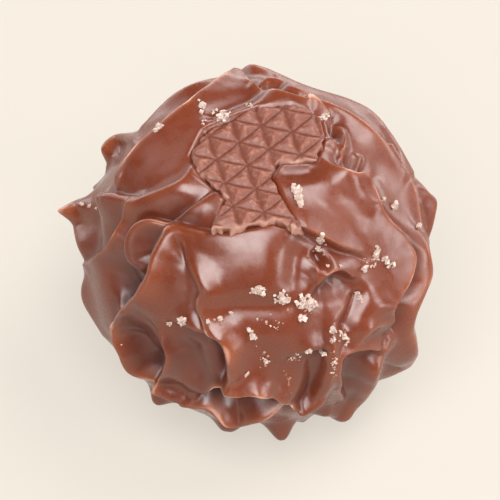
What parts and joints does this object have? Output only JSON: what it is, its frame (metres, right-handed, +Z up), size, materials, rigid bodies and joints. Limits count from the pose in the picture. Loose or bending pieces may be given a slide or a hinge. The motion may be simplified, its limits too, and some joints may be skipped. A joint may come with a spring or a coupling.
{
  "type": "chocolate coated caramel candy",
  "caption": "Round candy in a rough chocolate coating of folds, lips and spikes, with a broken embossed chocolate chip on its crown and scattered salt crystals.",
  "frame": {"origin": "middle of the flat spot that the candy stands on", "axes": "+Z up, the side with the salt faces -Y and up, +X to the right of someone who looks at that side"},
  "size_m": [0.0307, 0.0306, 0.0268],
  "materials": {
    "milk_chocolate": "set milk chocolate with a soft shine",
    "moulded_chocolate": "moulded milk chocolate, satin, with broken edges",
    "salt": "white salt crystals"
  },
  "bodies": {
    "root": {"truffle": "milk_chocolate", "embossed_chip": "moulded_chocolate"}
  },
  "joints": []
}
